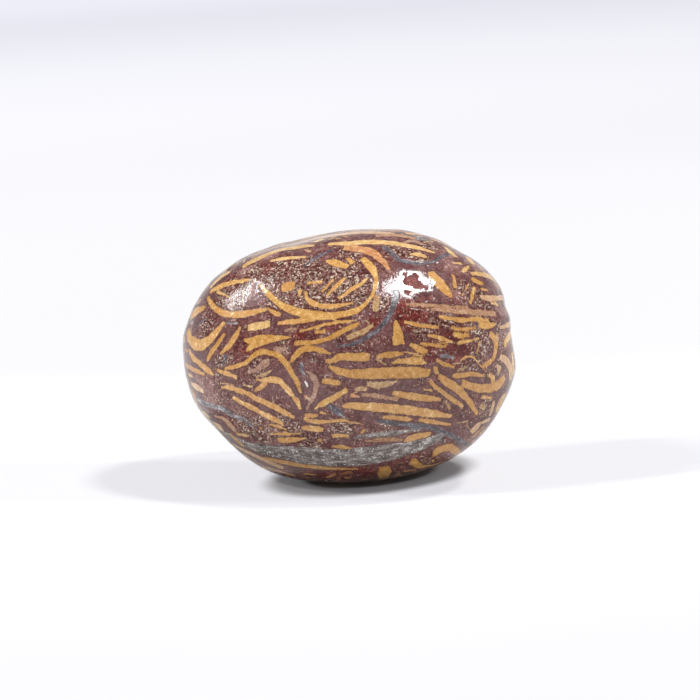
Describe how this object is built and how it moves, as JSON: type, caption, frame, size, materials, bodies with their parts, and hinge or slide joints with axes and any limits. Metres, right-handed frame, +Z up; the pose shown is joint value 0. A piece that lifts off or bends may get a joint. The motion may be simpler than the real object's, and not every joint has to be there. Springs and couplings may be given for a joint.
{
  "type": "jasper stone",
  "caption": "Tumbled and polished jasper pebble with mustard chip markings on maroon, rounded and slightly oblong, resting on a small worn flat.",
  "frame": {"origin": "on the resting face, under the middle of the pebble's length and depth", "axes": "+Z up, +X along the pebble's length towards its blunter end, -Y towards its front"},
  "size_m": [0.0296, 0.0246, 0.0222],
  "materials": {
    "stone": "tumbled polish"
  },
  "bodies": {
    "root": {"jasper_stone": "stone"}
  },
  "joints": []
}
